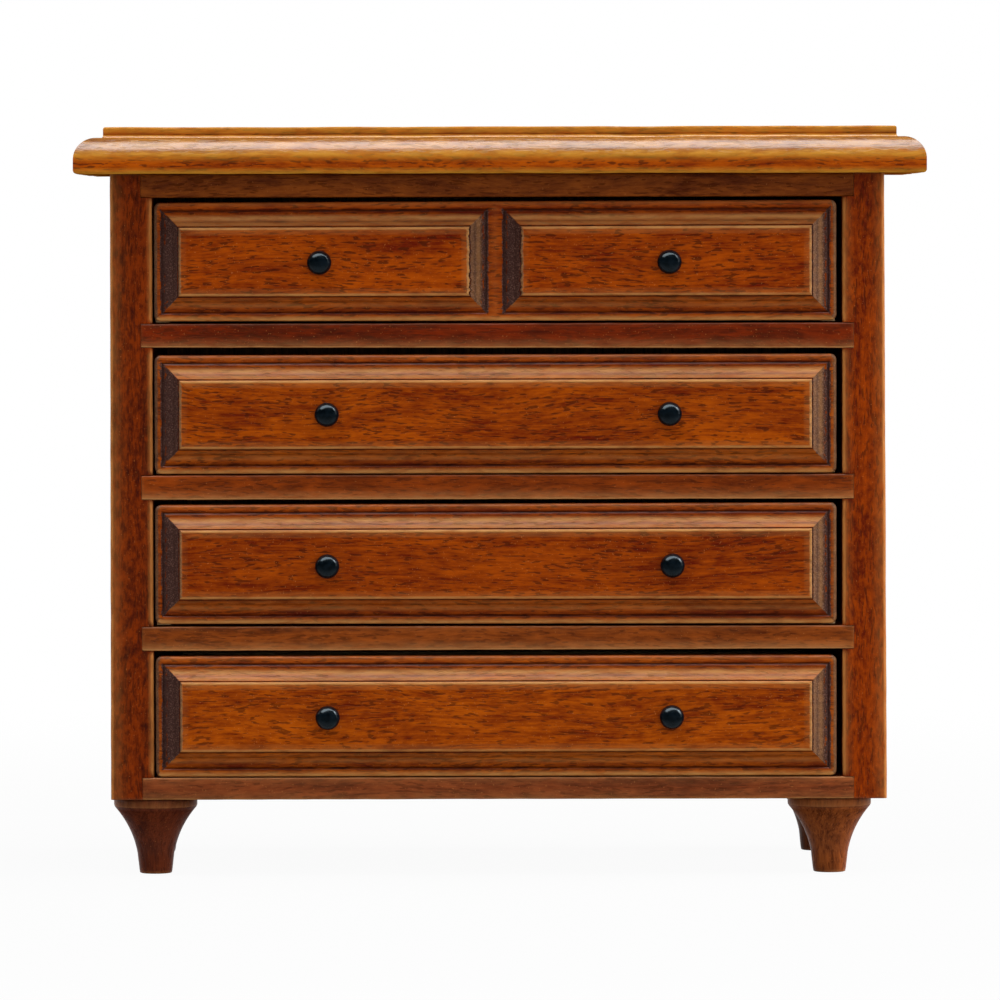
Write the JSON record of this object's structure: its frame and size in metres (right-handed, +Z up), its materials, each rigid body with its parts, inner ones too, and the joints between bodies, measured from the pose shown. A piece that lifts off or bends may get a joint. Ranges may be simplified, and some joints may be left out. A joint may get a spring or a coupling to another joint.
{
  "type": "miniature chest of drawers",
  "caption": "Dolls' house chest of drawers in stained wood, with sliding drawers, raised-field fronts, a moulded top, turned feet and small round knobs.",
  "frame": {"origin": "on the floor, midway between the side panels and midway between the front and back edges of the top board", "axes": "+X to the right of someone facing the front, +Y towards the back, +Z up"},
  "size_m": [0.0963, 0.044, 0.085],
  "materials": {
    "top_wood": "satin stained wood, grain along the length",
    "case_wood": "satin stained wood",
    "front_wood": "satin stained wood, dark in the hollows and pale at the edges",
    "turned_wood": "satin stained wood, turned",
    "plain_wood": "thinly stained wood, matt",
    "drawer_wood": "bare pale wood, matt",
    "knob_black": "glossy black enamel"
  },
  "bodies": {
    "case": {"top_board": "top_wood", "side_panel_left": "case_wood", "side_panel_right": "case_wood", "back_panel": "plain_wood", "top_rail": "case_wood", "upper_divider": "case_wood", "middle_divider": "case_wood", "lower_divider": "case_wood", "bottom_board": "case_wood", "foot_front_left": "turned_wood", "foot_front_right": "turned_wood", "foot_rear_left": "turned_wood", "foot_rear_right": "turned_wood"},
    "top_drawer": {"top_drawer_front": "front_wood", "top_drawer_side_left": "drawer_wood", "top_drawer_side_right": "drawer_wood", "top_drawer_back": "drawer_wood", "top_drawer_bottom": "drawer_wood", "top_drawer_knob_left": "knob_black", "top_drawer_knob_right": "knob_black"},
    "second_drawer": {"second_drawer_front": "front_wood", "second_drawer_side_left": "drawer_wood", "second_drawer_side_right": "drawer_wood", "second_drawer_back": "drawer_wood", "second_drawer_bottom": "drawer_wood", "second_drawer_knob_left": "knob_black", "second_drawer_knob_right": "knob_black"},
    "third_drawer": {"third_drawer_front": "front_wood", "third_drawer_side_left": "drawer_wood", "third_drawer_side_right": "drawer_wood", "third_drawer_back": "drawer_wood", "third_drawer_bottom": "drawer_wood", "third_drawer_knob_left": "knob_black", "third_drawer_knob_right": "knob_black"},
    "bottom_drawer": {"bottom_drawer_front": "front_wood", "bottom_drawer_side_left": "drawer_wood", "bottom_drawer_side_right": "drawer_wood", "bottom_drawer_back": "drawer_wood", "bottom_drawer_bottom": "drawer_wood", "bottom_drawer_knob_left": "knob_black", "bottom_drawer_knob_right": "knob_black"}
  },
  "joints": [
    {"name": "top_drawer_slide", "type": "slide", "parent": "case", "child": "top_drawer", "axis": [0, -1, 0], "range_m": [0, 0.03]},
    {"name": "second_drawer_slide", "type": "slide", "parent": "case", "child": "second_drawer", "axis": [0, -1, 0], "range_m": [0, 0.03]},
    {"name": "third_drawer_slide", "type": "slide", "parent": "case", "child": "third_drawer", "axis": [0, -1, 0], "range_m": [0, 0.03]},
    {"name": "bottom_drawer_slide", "type": "slide", "parent": "case", "child": "bottom_drawer", "axis": [0, -1, 0], "range_m": [0, 0.03]}
  ]
}
